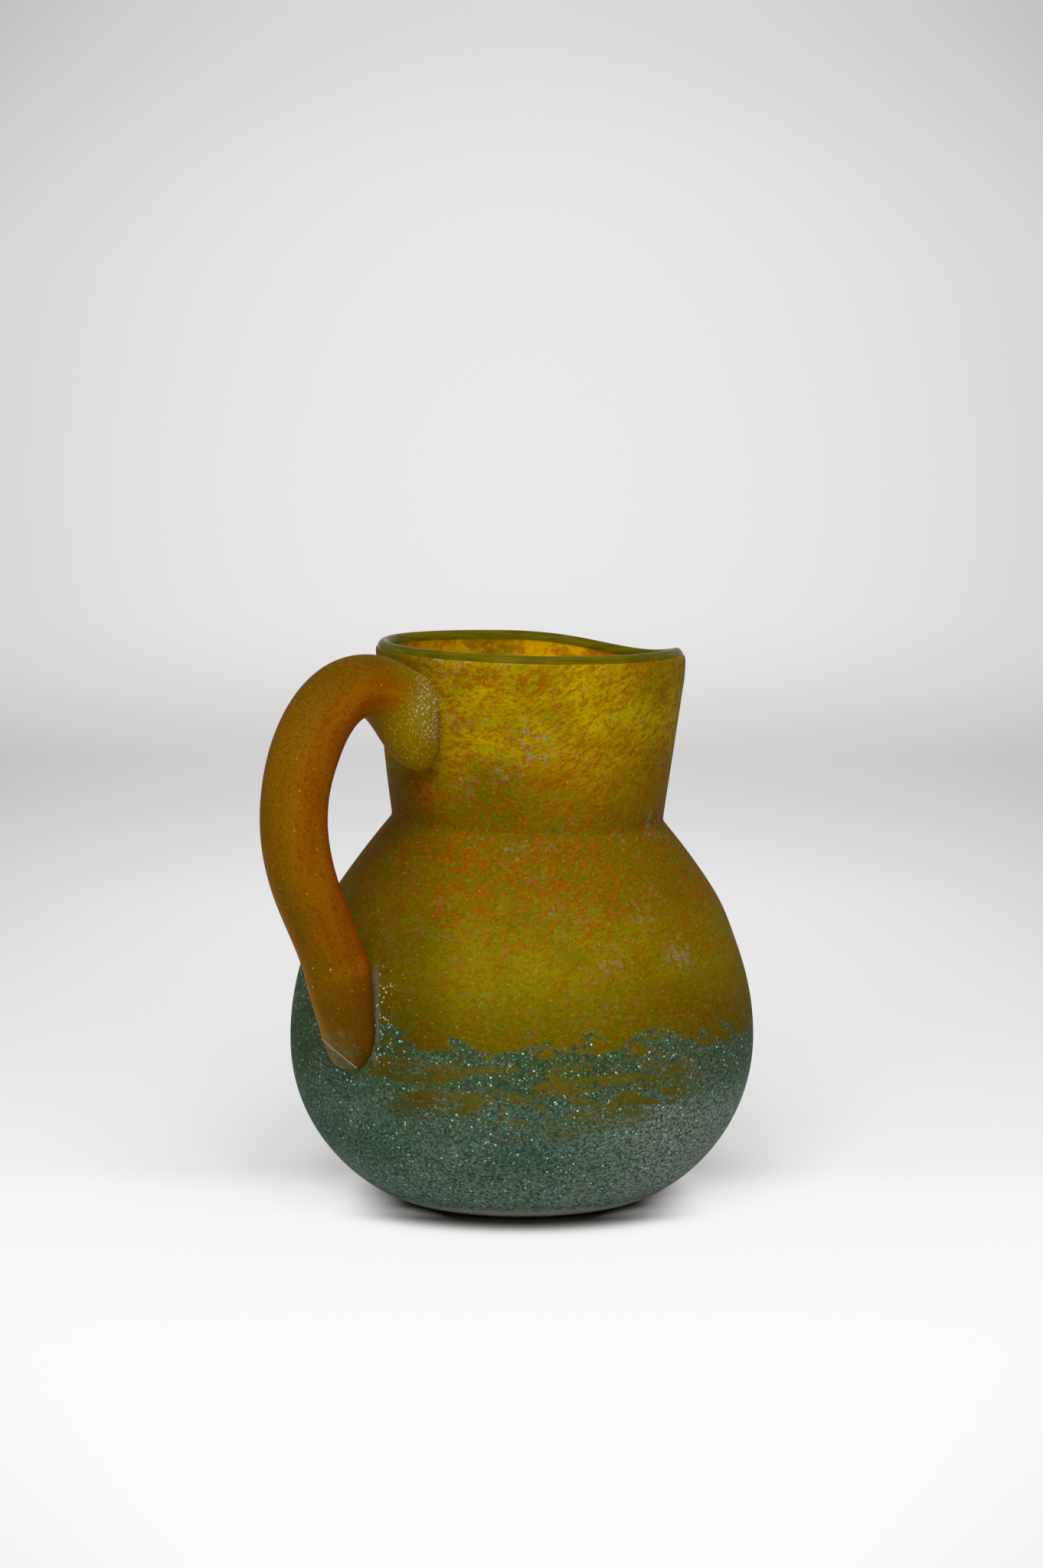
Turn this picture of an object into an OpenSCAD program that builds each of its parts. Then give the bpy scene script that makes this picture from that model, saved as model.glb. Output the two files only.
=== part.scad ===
// Hand-blown art-glass pitcher. A round bowl is pinched into a tall open neck with one pulled
// pouring lip. The wall is an inner gather cased in amber; the lower bowl carries a skin of green
// grains let into the casing; one applied rod makes the handle, from a pad on the neck to a
// flattened tail on the bowl. The table is z = 0, the lip points along +X and the handle along -X.

/* [Bowl] */
// Radius of the ground flat that the pitcher stands on
base_r = 38; // [33:0.5:43]
// Largest radius of the bowl
belly_r = 71.4; // [67:0.2:75]
// Height of the bowl's largest radius
belly_h = 48.5; // [45:0.5:54]
// Slope of the bowl where it leaves the flat, in degrees from the table
base_slope = 14; // [8:1:20]
// Slope of the shoulder where it meets the neck, in degrees from level
shoulder_slope = 50; // [45:1:55]

/* [Neck] */
// Radius at the pinch between shoulder and neck
waist_r = 41.5; // [39:0.5:44]
// Height of that pinch
waist_h = 117; // [112:1:122]
// Radius of the small fillet in the pinch
waist_fillet = 3; // [2:0.5:5]
// Radius of the mouth at the rim, away from the lip
rim_r = 46; // [44:0.5:49]
// Height of the rim, away from the lip
rim_h = 171; // [165:1:180]

/* [Pouring lip] */
// How far the lip is pulled out past the round rim
lip_reach = 9; // [4:0.5:13]
// How far the tip of the lip dips below the rim
lip_dip = 5; // [2:0.5:8]
// How narrow the pull is, as a power of the cosine round the rim
lip_pull_power = 3; // [2:0.5:4]
// How narrow the dip is, as a power of the cosine round the rim
lip_dip_power = 5; // [3:0.5:7]
// How late the pull starts up the neck, as a power of the height
lip_rise_power = 2; // [1.5:0.1:3]

/* [Glass layers] */
// Thickness of the whole wall
wall_t = 4.6; // [4:0.1:5.4]
// Thickness of the glass under the bowl
base_t = 8; // [6:0.5:10]
// Thickness of the amber casing
casing_t = 1.8; // [1.5:0.1:2.2]
// Thickness of the green skin let into the casing
skin_t = 0.9; // [0.6:0.1:1.1]
// Height of the upper edge of the green skin over the bowl's largest radius
skin_over = 8.5; // [4:0.5:16]
// Half height of the rolled edge bead
bead_h = 2.3; // [1.8:0.1:2.8]
// How far the bead stands proud of the wall on each side
bead_proud = 0.4; // [0.3:0.1:0.6]

/* [Handle] */
// Diameter of the handle rod
rod_d = 20; // [17:0.5:22]
// Distance of the rod's middle from the jug's axis at its widest
handle_reach = 93; // [89:0.5:98]
// Height of the top of the loop over the rim
loop_over = 1; // [-2:0.5:6]
// Distance from the rim down to where the rod runs straight down
grip_drop = 46; // [40:1:52]
// Distance from the rim down to the middle of the pad pressed on the neck
pad_drop = 21.5; // [20:0.5:26]
// How tall that pad is
pad_tall = 32; // [28:1:34]
// Width of that pad
pad_wide = 17; // [15:0.5:20]
// Height at which the rod lands, over the bowl's largest radius
land_over = 31.5; // [28:0.5:36]
// Distance of the tip of the tail below the bowl's largest radius
tip_under = 2; // [-3:0.5:6]

/* [Hidden] */
// Unit of the shares
whole = 1;
// Shares of the belly height that pull the lower bowl curve at its two ends
base_pull_share = 0.227;
low_pull_share = 0.6;
// Shares of the height from belly to pinch that pull the upper bowl curve at its two ends
high_pull_share = 0.38;
shoulder_pull_share = 0.409;
// Share of the neck's height that pulls the neck curve at each end
neck_pull_share = 0.33;
// Share of the flare that the neck curve takes near its foot and near its top
neck_foot_share = 0.5;
neck_top_share = 0.9;
// Share of the pinch radius by which the neck and shoulder run into each other
run_in_share = 0.1;
// Turns of the fillet that show between neck and shoulder
fillet_turns = [30, 20, 10, 0];
// Samples along each half of the bowl curve, along the neck and along the handle
bowl_n = 12;
neck_n = 7;
loop_n = 12;
tail_n = 12;
// Points round the rod and round the rim bead
rod_n = 26;
bead_n = 12;
// Steps round the lip side of the neck and round the whole bead
lip_n = 36;
bead_turns = 2 * lip_n;
// Rod radius
rod_r = rod_d / 2;
// Height of the middle of the rim bead
bead_mid_h = rim_h - bead_h;
// Height of the upper edge of the green skin
waterline_h = belly_h + skin_over;
// Height where the waist fillet runs into the neck
fillet_top_h = waist_h + waist_fillet * tan((90 - shoulder_slope) / 2);
// Length by which the neck and the shoulder run into each other
run_in = run_in_share * waist_r;
// Length by which the bore is cut past the rim
over = bead_h + wall_t;

// Handle shares: of the rod radius unless the comment says otherwise
// Middle of the loop's top, as a share of the way from the neck to the widest reach
crown_out_share = 0.44;
// Pull of the loop curve at its crown and at its widest, of the distances it spans
crown_pull_share = 0.56;
grip_pull_share = 0.55;
// Pull of the falling curve at its widest and where it lands, of the height it falls
fall_pull_share = 0.4;
land_pull_share = 0.34;
// Lean of the rod where it lands, in degrees from upright
land_lean = 19;
// Height of the rod's middle over the bowl where it lands
land_off_share = 1.19;
// Sink of the tail's middle at the tip, and how fast the tail comes down to the bowl
tip_off_share = 0.02;
tail_sink_power = 1.8;
// Thickness and width of the tail at its tip, and how late it narrows
tip_thick_share = 0.15;
tip_wide_share = 0.3;
tail_thin_power = 1.6;
tail_narrow_power = 6;
// How much wider the tail is pressed than the rod, and the share of its length that takes to build up
land_press_share = 0.15;
land_spread_share = 0.25;
// Start of the pad inside the neck, as a share of the wall
pad_root_share = 1.2;
// How fast the pad draws in to the rod
pad_draw_power = 1.5;
// Pull of the pad curve at both ends, as a share of its length
pad_pull_share = 0.42;
// Samples along the pad
pad_n = 8;

// Smooth curve through two ends with two pulls
function curve(a, b, c, d, t) =
    pow(1 - t, 3) * a + 3 * pow(1 - t, 2) * t * b + 3 * (1 - t) * t * t * c + pow(t, 3) * d;
function slope(a, b, c, d, t) =
    3 * pow(1 - t, 2) * (b - a) + 6 * (1 - t) * t * (c - b) + 3 * t * t * (d - c);
function unit(v) = v / norm(v);
function backwards(list) = [for (i = [len(list) - 1 : -1 : 0]) list[i]];
function swapped(list) = [for (p = list) [p[1], p[0]]];

// Bowl curve from the flat to the pinch: each entry is a point and its outward normal
low_ends = [
    [base_r, 0],
    [base_r, 0] + base_pull_share * belly_h * [cos(base_slope), sin(base_slope)],
    [belly_r, belly_h * (whole - low_pull_share)],
    [belly_r, belly_h]
];
rise = waist_h - belly_h;
high_ends = [
    [belly_r, belly_h],
    [belly_r, belly_h + high_pull_share * rise],
    [waist_r, waist_h] + shoulder_pull_share * rise * [cos(shoulder_slope), -sin(shoulder_slope)],
    [waist_r, waist_h]
];
function normal_of(v) = [unit(v)[1], -unit(v)[0]];
function at_ends(e, t) = [
    curve(e[0], e[1], e[2], e[3], t),
    normal_of(slope(e[0], e[1], e[2], e[3], t))
];
bowl_line = concat(
    [for (i = [0 : bowl_n]) at_ends(low_ends, i / bowl_n)],
    [for (i = [1 : bowl_n]) at_ends(high_ends, i / bowl_n)]
);

// The bowl curve let in by one depth all over
function bowl_at(depth) = [for (p = bowl_line) p[0] - depth * p[1]];
// The bore of the bowl, thicker under the belly
function bore_depth(z) = wall_t + (base_t - wall_t) * pow(whole - min(z / belly_h, whole), 2);
bowl_bore = [for (p = bowl_line) p[0] - bore_depth(p[0][1]) * p[1]];

// Part of a curve below or above a height, ending on the height
function below(list, h) =
    concat([for (p = list) if (p[1] < h) p], [[lookup(h, swapped(list)), h]]);
function above(list, h) =
    concat([[lookup(h, swapped(list)), h]], [for (p = list) if (p[1] > h) p]);

// Neck curve let in by one depth, from inside the shoulder up to the middle of the bead
flare = rim_r - waist_r;
neck_tall = bead_mid_h - fillet_top_h;
neck_ends = [
    [waist_r, fillet_top_h],
    [waist_r + neck_foot_share * flare, fillet_top_h + neck_pull_share * neck_tall],
    [waist_r + neck_top_share * flare, bead_mid_h - neck_pull_share * neck_tall],
    [rim_r, bead_mid_h]
];
function fillet_at(depth, turn) = [
    waist_r + waist_fillet - (waist_fillet + depth) * cos(turn),
    fillet_top_h - (waist_fillet + depth) * sin(turn)
];
function neck_at(depth) = concat(
    [fillet_at(depth, fillet_turns[0]) - [0, run_in]],
    [for (turn = fillet_turns) fillet_at(depth, turn)],
    [for (i = [1 : neck_n]) at_ends(neck_ends, i / neck_n)[0] - [depth, 0]]
);
function neck_over(depth) = concat(neck_at(depth), [[rim_r - depth, rim_h + over]]);

// Pull and dip of the lip, at an angle round the rim and a height
function lip_rise(z) = pow(max(z - fillet_top_h, 0) / neck_tall, lip_rise_power);
function lip_out(turn) = lip_reach * pow(max(cos(turn), 0), lip_pull_power);
function lip_down(turn) = lip_dip * pow(max(cos(turn), 0), lip_dip_power);
function lip_point(p, turn, lift) = [
    (p[0] + lip_out(turn) * lift) * cos(turn),
    (p[0] + lip_out(turn) * lift) * sin(turn),
    p[1] - lip_down(turn) * lift
];
function lip_turn(j) = -90 + 180 * j / lip_n;

// A filled turning of the handle half of the neck
module back_half(line) {
    rotate([0, 0, 90])
        rotate_extrude(angle = 180, $fn = 96)
            polygon(concat([[0, line[0][1]]], line, [[0, line[len(line) - 1][1]]]));
}

// The filled lip half of the neck, drawn out row by row
module lip_half(line) {
    rows = len(line);
    wide = lip_n + 2;
    last = rows - 1;
    points = [
        for (p = line)
            for (j = [0 : lip_n + 1])
                j > lip_n ? [0, 0, p[1]] : lip_point(p, lip_turn(j), lip_rise(p[1]))
    ];
    sides = [
        for (k = [0 : last - 1])
            for (j = [0 : lip_n - 1])
                each [
                    [k * wide + j, (k + 1) * wide + j, (k + 1) * wide + j + 1],
                    [k * wide + j, (k + 1) * wide + j + 1, k * wide + j + 1]
                ]
    ];
    flat = [
        for (k = [0 : last - 1])
            each [
                [k * wide + lip_n + 1, (k + 1) * wide + lip_n + 1, (k + 1) * wide],
                [k * wide + lip_n + 1, (k + 1) * wide, k * wide],
                [k * wide + lip_n, (k + 1) * wide + lip_n, (k + 1) * wide + lip_n + 1],
                [k * wide + lip_n, (k + 1) * wide + lip_n + 1, k * wide + lip_n + 1]
            ]
    ];
    ends = [
        for (j = [0 : lip_n - 1])
            each [
                [lip_n + 1, j, j + 1],
                [last * wide + lip_n + 1, last * wide + j + 1, last * wide + j]
            ]
    ];
    polyhedron(points = points, faces = concat(sides, flat, ends), convexity = 6);
}

// A filled neck
module neck_solid(line) {
    back_half(line);
    lip_half(line);
}

// A filled bowl whose shoulder runs on into the neck
module bowl_solid(line) {
    tip = line[len(line) - 1] + run_in * [-cos(shoulder_slope), sin(shoulder_slope)];
    rotate_extrude($fn = 96)
        polygon(concat([[0, line[0][1]]], line, [tip, [0, tip[1]]]));
}

// Section of the rolled edge
bead_line = [
    for (i = [0 : bead_n - 1])
        [
            rim_r - wall_t / 2 + (wall_t / 2 + bead_proud) * cos(360 * i / bead_n),
            bead_mid_h + bead_h * sin(360 * i / bead_n)
        ]
];

// The rolled edge, round on the handle half and drawn out at the lip
module edge_bead() {
    points = [
        for (j = [0 : bead_turns - 1])
            for (p = bead_line)
                lip_point(p, 360 * j / bead_turns, lip_rise(bead_mid_h))
    ];
    faces = [
        for (j = [0 : bead_turns - 1])
            for (i = [0 : bead_n - 1])
                let (
                    here = j * bead_n,
                    there = (j + 1) % bead_turns * bead_n,
                    next = (i + 1) % bead_n
                )
                each [
                    [here + i, there + next, there + i],
                    [here + i, here + next, there + next]
                ]
    ];
    polyhedron(points = points, faces = faces, convexity = 6);
}

// Inner gather: the blown wall whose bare rolled edge shows at the rim
module inner_gather() {
    color([0.47, 0.45, 0.12])
        union() {
            difference() {
                union() {
                    bowl_solid(bowl_at(casing_t));
                    neck_solid(neck_at(casing_t));
                }
                bowl_solid(bowl_bore);
                neck_solid(neck_over(wall_t));
            }
            edge_bead();
        }
}

// Amber casing: over the whole gather, with a rebate for the skin below the waterline
module amber_casing() {
    rebated = concat(below(bowl_at(skin_t), waterline_h), above(bowl_at(0), waterline_h));
    color([0.67, 0.50, 0.10])
        difference() {
            union() {
                bowl_solid(rebated);
                neck_solid(neck_at(0));
            }
            bowl_solid(bowl_at(casing_t));
            neck_solid(neck_over(casing_t));
            edge_bead();
        }
}

// Green skin: the grains melted into the rebate, with the ground flat under it
module green_overlay() {
    outer = below(bowl_at(0), waterline_h);
    inner = below(bowl_at(skin_t), waterline_h);
    color([0.21, 0.32, 0.27])
        rotate_extrude($fn = 96)
            polygon(concat([[0, 0]], outer, backwards(inner), [[0, inner[0][1]]]));
}

// Handle line in its own plane: distance from the axis and height
bowl_out = bowl_at(0);
function bowl_r_at(z) = lookup(z, swapped(bowl_out));
neck_out = neck_at(0);
function neck_r_at(z) = lookup(z, swapped(neck_out));

crown_h = rim_h + loop_over - rod_r;
pad_mid_h = rim_h - pad_drop;
grip_h = rim_h - grip_drop;
land_h = belly_h + land_over;
tip_h = belly_h - tip_under;
pad_r = neck_r_at(pad_mid_h);
crown = [pad_r + crown_out_share * (handle_reach - pad_r), crown_h];
grip = [handle_reach, grip_h];
land = [bowl_r_at(land_h) + land_off_share * rod_r, land_h];
pad_root = [pad_r - pad_root_share * wall_t, pad_mid_h];
fall = grip_h - land_h;

pad_ends = [
    pad_root,
    pad_root + [pad_pull_share * (crown[0] - pad_root[0]), 0],
    crown - [pad_pull_share * (crown[0] - pad_root[0]), 0],
    crown
];
crown_ends = [
    crown,
    crown + [crown_pull_share * (grip[0] - crown[0]), 0],
    grip + [0, grip_pull_share * (crown_h - grip_h)],
    grip
];
fall_ends = [
    grip,
    grip - [0, fall_pull_share * fall],
    land + land_pull_share * fall * [sin(land_lean), cos(land_lean)],
    land
];
function tail_at(t) =
    let (z = land_h + (tip_h - land_h) * t)
    [
        bowl_r_at(z) + rod_r * (tip_off_share + (land_off_share - tip_off_share) * pow(1 - t, tail_sink_power)),
        z
    ];
handle_line = concat(
    [for (i = [0 : pad_n - 1]) at_ends(pad_ends, i / pad_n)[0]],
    [for (i = [0 : loop_n - 1]) at_ends(crown_ends, i / loop_n)[0]],
    [for (i = [0 : loop_n - 1]) at_ends(fall_ends, i / loop_n)[0]],
    [for (i = [0 : tail_n]) tail_at(i / tail_n)]
);

// Half width and half thickness of the rod at each sample
function pad_size(t) =
    let (s = pow(1 - t, pad_draw_power))
    [rod_r + (pad_wide / 2 - rod_r) * s, rod_r + (pad_tall / 2 - rod_r) * s];
function tail_press(t) = whole + land_press_share * min(t / land_spread_share, whole);
function tail_size(t) = [
    rod_r * tail_press(t) * (whole - (whole - tip_wide_share) * pow(t, tail_narrow_power)),
    rod_r * (whole - (whole - tip_thick_share) * pow(t, tail_thin_power))
];
handle_size = concat(
    [for (i = [0 : pad_n - 1]) pad_size(i / pad_n)],
    [for (i = [0 : 2 * loop_n - 1]) [rod_r, rod_r]],
    [for (i = [0 : tail_n]) tail_size(i / tail_n)]
);
handle_count = len(handle_line);
function handle_way(i) =
    unit(handle_line[min(i + 1, handle_count - 1)] - handle_line[max(i - 1, 0)]);

// The whole rod as one drawn body, before it is seated
module rod_body() {
    points = [
        for (i = [0 : handle_count - 1])
            for (j = [0 : rod_n - 1])
                let (
                    side = handle_size[i][0] * cos(360 * j / rod_n),
                    up = handle_size[i][1] * sin(360 * j / rod_n),
                    way = handle_way(i),
                    spot = handle_line[i] + up * [-way[1], way[0]]
                )
                [-spot[0], side, spot[1]]
    ];
    sides = [
        for (i = [0 : handle_count - 2])
            for (j = [0 : rod_n - 1])
                each [
                    [i * rod_n + j, (i + 1) * rod_n + (j + 1) % rod_n, (i + 1) * rod_n + j],
                    [i * rod_n + j, i * rod_n + (j + 1) % rod_n, (i + 1) * rod_n + (j + 1) % rod_n]
                ]
    ];
    root = [for (j = [rod_n - 1 : -1 : 0]) j];
    tip = [for (j = [0 : rod_n - 1]) (handle_count - 1) * rod_n + j];
    polyhedron(points = points, faces = concat(sides, [root, tip]), convexity = 6);
}

// Handle: one rod, seated on the neck by its pad and on the bowl by its tail
module handle() {
    color([0.60, 0.36, 0.08])
        difference() {
            rod_body();
            bowl_solid(bowl_at(0));
            back_half(neck_over(0));
        }
}

inner_gather();
amber_casing();
green_overlay();
handle();
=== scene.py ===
"""Looks of a hand-blown mottled glass pitcher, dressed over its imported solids.

Lengths are millimetres until a mesh is made. The table is z = 0, the lip points along +X and the
handle along -X. A pair of numbers is a range: a mark starts at the first and is full at the second.
"""
import functools
import math

import bpy
import numpy as np
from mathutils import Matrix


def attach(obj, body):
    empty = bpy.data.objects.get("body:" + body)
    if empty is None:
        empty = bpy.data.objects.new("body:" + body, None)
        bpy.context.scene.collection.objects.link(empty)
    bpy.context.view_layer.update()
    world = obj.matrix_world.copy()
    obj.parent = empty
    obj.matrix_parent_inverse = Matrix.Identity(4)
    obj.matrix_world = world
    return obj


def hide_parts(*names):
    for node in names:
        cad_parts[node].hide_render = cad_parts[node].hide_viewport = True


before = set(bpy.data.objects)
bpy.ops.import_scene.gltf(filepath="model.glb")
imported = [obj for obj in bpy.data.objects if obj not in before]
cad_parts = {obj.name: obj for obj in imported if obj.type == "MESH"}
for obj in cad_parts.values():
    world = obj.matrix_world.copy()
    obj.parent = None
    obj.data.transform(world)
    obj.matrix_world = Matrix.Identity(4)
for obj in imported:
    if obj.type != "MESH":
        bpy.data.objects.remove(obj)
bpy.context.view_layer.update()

MM = 0.001

# Bowl, and the pulls of its two curves as shares of their heights
BASE_R = 38.0
BELLY_R = 71.4
BELLY_H = 48.5
BASE_SLOPE = math.radians(14)
SHOULDER_SLOPE = math.radians(50)
FOOT_PULL_SHARE = 0.227
LOW_PULL_SHARE = 0.6
HIGH_PULL_SHARE = 0.38
SHOULDER_PULL_SHARE = 0.409

# Neck, and the shares of its flare and its height that shape its curve
WAIST_R = 41.5
WAIST_H = 116.4
WAIST_FILLET = 3.0
RIM_R = 46.2
RIM_H = 172.3
NECK_FOOT_SHARE = 0.5
NECK_TOP_SHARE = 0.9
NECK_PULL_SHARE = 0.33

# Lean of the neck towards the lip, a little less at the rim, and tilt of the waist
NECK_LEAN = 2.7
LEAN_FROM_H = 82.0
RIM_BACK = 1.1
RIM_BACK_FROM_H = 160.0
WAIST_TILT = 0.9
WAIST_TILT_FROM_H = 96.0
WAIST_TILT_TO_H = 160.0

# Pouring lip: pull, dip of the tip, and tilt of the whole rim
LIP_REACH = 6.4
LIP_DIP = 3.9
RIM_TILT = 3.1
RIM_TILT_TURN = math.radians(-12)
LIP_PULL_POWER = 3
LIP_DIP_POWER = 8
LIP_RISE_POWER = 1.8

# Glass layers
WALL_T = 4.6
BASE_T = 8.0
CASING_T = 1.8
SKIN_T = 0.9
WATERLINE_H = 57.0

# Rounded edge of the rim: width and height of its outer and inner roundings, and where the casing ends
RIM_OUT = 2.6
RIM_OUT_TALL = 4.4
RIM_IN_TALL = 2.6
RIM_CLEAR = 1.0
CASING_DROP = 2.5
CASING_EDGE_R = 0.35
BARE_STEP = 0.2

# Hand-made unevenness of the wall, and a fuller shoulder on one side
WOBBLE = 0.22
WOBBLE_TWIST = 31.0
RIPPLE_SHARE = 0.6
RIPPLE_TWIST = 17.0
BULGE = 0.9
BULGE_H = 90.0
BULGE_TALL = 9.0

# Handle: places of the rod's middle line, and the pulls of its curves
ROD_R = 10.0
HANDLE_REACH = 93.0
PAD_H = 149.5
PAD_SINK = 6.5
CROWN_H = 162.0
CROWN_SHARE = 0.44
GRIP_H = 125.0
LAND_H = 80.0
LAND_SHARE = 1.19
LAND_LEAN = math.radians(19)
TIP_H = 47.4
PAD_PULL_SHARE = 0.42
CROWN_PULL_SHARE = 0.56
GRIP_RISE_SHARE = 0.55
GRIP_FALL_SHARE = 0.4
LAND_PULL_SHARE = 0.34
SEAT_DEPTH = 1.2

# Pad: its half height, the lobe that hangs from it, and the roundings of the edges of both
PAD_HALF_TALL = 16.5
PAD_LOBE = 26.0
PAD_SKEW = 5.0
PAD_DRAW_POWER = 1.5
LOBE_DRAW_POWER = 2.5
PAD_ROUND = dict(start=12.0, length=11.5, most=0.95)
LOBE_ROUND = dict(start=12.3, length=10.7, most=0.96)
LOBE_EDGE_SHARE = 0.43

# Loop: thinner where it arches over the fingers, fuller past its crown
ARCH = 1.2
ARCH_ON_PAD = (0.2, 0.8)
ARCH_ON_LOOP = (0.45, 0)
FULLER = 0.9
FULLER_AT_SHARE = 0.62
FULLER_WIDE_SHARE = 0.2

# Fall and tail: slimmer above the bowl, spread on it, flattened and closed to a blunt tip that drifts
SLIM_SHARE = 0.07
SLIM_H = (106, 88)
SPREAD_SHARE = 0.2
SPREAD_H = (83.5, 77)
PINCH_SHARE = 0.05
PINCH_H = 102.0
PINCH_TALL = 9.0
TAIL_SEAT_SHARE = 0.02
TAIL_LIFT_SHARE = 1.17
TAIL_LIFT_POWER = 1.8
FLATTEN_SHARE = 0.8
FLATTEN_POWER = 1.6
TIP_FROM_SHARE = 0.62
TIP_POWER = 2.5
TIP_LEAST = 0.0004
TIP_THICK_SHARE = 0.25
TIP_SWAY = 2.0
TIP_SWAY_SHARES = (0.6, 1)

# Shear cut across the tip of the tail: a point and the facing of its edge, its slope and its depth
SHEAR_AT = (-77.96, 4.14, 56.6)
SHEAR_FACING = (-0.524, 0.361, -0.772)
SHEAR_SLOPE = 0.25
SHEAR_DEPTH = 0.6

# Camera, as the photograph has it
CAMERA_TURN = math.radians(-44)
CAMERA_BACK = 1480.7
CAMERA_UP = 328.1
CAMERA_PITCH = math.radians(7.73)
CAMERA_LENS = 111.8
SENSOR_WIDE = 36.0

# Fineness of the meshes: steps round, points of the curves, and gaps along the sections
BODY_TURNS = 288
ROD_TURNS = 72
CURVE_POINTS = 400
FILLET_POINTS = 40
RIM_POINTS = 120
INNER_RIM_POINTS = 14
CASING_EDGE_POINTS = 5
PAD_RINGS = 48
LOOP_RINGS = 56
TAIL_RINGS = 90
TAIL_RING_POWER = 1.4
FINE_GAP = 1.1
PLAIN_GAP = 3.0
RIM_GAP = 0.35
BORE_GAP = 1.6
SHARP_FROM = math.radians(50)


def srgb(red, green, blue):
    """A colour written in 0 to 255, as linear light with full alpha."""
    parts = np.array([red, green, blue]) / 255
    light = np.where(parts <= 0.04045, parts / 12.92, ((parts + 0.055) / 1.055) ** 2.4)
    return (*(float(x) for x in light), 1.0)


# Smooth curves and steps

def bezier(ends, t):
    a, b, c, d = (np.array(p, float) for p in ends)
    t = np.asarray(t, float)[:, None]
    return (1 - t) ** 3 * a + 3 * (1 - t) ** 2 * t * b + 3 * (1 - t) * t * t * c + t ** 3 * d


def smooth_step(value, low, high):
    t = np.clip((np.asarray(value, float) - low) / (high - low), 0, 1)
    return t * t * (3 - 2 * t)


def hump(value, middle, wide):
    """1 at the middle, falling off smoothly to both sides."""
    return np.exp(-((value - middle) / wide) ** 2)


def resampled(line, gap):
    """The line with points about one gap apart."""
    steps = np.linalg.norm(np.diff(line, axis=0), axis=1)
    run = np.concatenate([[0], np.cumsum(steps)])
    at = np.linspace(0, run[-1], max(2, int(round(run[-1] / gap)) + 1))
    return np.stack([np.interp(at, run, line[:, i]) for i in range(line.shape[1])], 1)


# Outline of the outer surface, from the ground flat to the top of the rim

FILLET_TOP_H = WAIST_H + WAIST_FILLET * math.tan((math.pi / 2 - SHOULDER_SLOPE) / 2)
NECK_TOP_H = RIM_H - RIM_OUT_TALL
NECK_TALL = NECK_TOP_H - FILLET_TOP_H


def bowl_curves():
    """The two bowl curves as in the solids."""
    rise = WAIST_H - BELLY_H
    foot = FOOT_PULL_SHARE * BELLY_H
    shoulder = SHOULDER_PULL_SHARE * rise
    low = [
        (BASE_R, 0),
        (BASE_R + foot * math.cos(BASE_SLOPE), foot * math.sin(BASE_SLOPE)),
        (BELLY_R, BELLY_H * (1 - LOW_PULL_SHARE)),
        (BELLY_R, BELLY_H),
    ]
    high = [
        (BELLY_R, BELLY_H),
        (BELLY_R, BELLY_H + HIGH_PULL_SHARE * rise),
        (WAIST_R + shoulder * math.cos(SHOULDER_SLOPE), WAIST_H - shoulder * math.sin(SHOULDER_SLOPE)),
        (WAIST_R, WAIST_H),
    ]
    return low, high


def outer_outline():
    """Points (radius, height) from the ground flat's edge to the top of the rim."""
    t = np.linspace(0, 1, CURVE_POINTS)
    low, high = bowl_curves()
    bowl = np.concatenate([bezier(low, t), bezier(high, t)[1:]])
    turns = np.linspace(math.pi / 2 - SHOULDER_SLOPE, 0, FILLET_POINTS)
    fillet = np.stack([
        WAIST_R + WAIST_FILLET * (1 - np.cos(turns)),
        FILLET_TOP_H - WAIST_FILLET * np.sin(turns),
    ], 1)
    flare = RIM_R - WAIST_R
    pull = NECK_PULL_SHARE * NECK_TALL
    neck = bezier([
        (WAIST_R, FILLET_TOP_H),
        (WAIST_R + NECK_FOOT_SHARE * flare, FILLET_TOP_H + pull),
        (WAIST_R + NECK_TOP_SHARE * flare, NECK_TOP_H - pull),
        (RIM_R, NECK_TOP_H),
    ], t)
    turns = np.linspace(0, math.pi / 2, RIM_POINTS)
    rim = np.stack([
        RIM_R - RIM_OUT * (1 - np.cos(turns)),
        NECK_TOP_H + RIM_OUT_TALL * np.sin(turns),
    ], 1)
    bowl = bowl[bowl[:, 1] < fillet[0, 1]]
    return np.concatenate([bowl, fillet, neck[1:], rim[1:]])


OUTLINE = outer_outline()


def outer_radius(height):
    """Radius of the outer surface at a height below the rim."""
    return np.interp(height, OUTLINE[:, 1], OUTLINE[:, 0])


def normals_of(line):
    """Outward normals of an outline that runs from the flat upwards."""
    way = np.gradient(line, axis=0)
    way /= np.linalg.norm(way, axis=1)[:, None]
    return np.stack([way[:, 1], -way[:, 0]], 1)


def let_in(depth, low_h, high_h, gap):
    """The outline between two heights, let in by a depth, with points about one gap apart."""
    line = OUTLINE - np.asarray(depth)[..., None] * normals_of(OUTLINE)
    inside = (OUTLINE[:, 1] > low_h) & (OUTLINE[:, 1] < high_h)
    ends = [[np.interp(h, OUTLINE[:, 1], line[:, i]) for i in range(2)] for h in (low_h, high_h)]
    return resampled(np.concatenate([ends[:1], line[inside], ends[1:]]), gap)


def bore_depths():
    """Thickness of the wall along the outline, thicker under the belly."""
    return WALL_T + (BASE_T - WALL_T) * (1 - np.minimum(OUTLINE[:, 1] / BELLY_H, 1)) ** 2


# Meshes

def leaning(height):
    """How far the body leans towards the lip at a height, a little less at the rim."""
    lean = NECK_LEAN * smooth_step(height, LEAN_FROM_H, FILLET_TOP_H)
    return lean - RIM_BACK * smooth_step(height, RIM_BACK_FROM_H, RIM_H)


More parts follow.
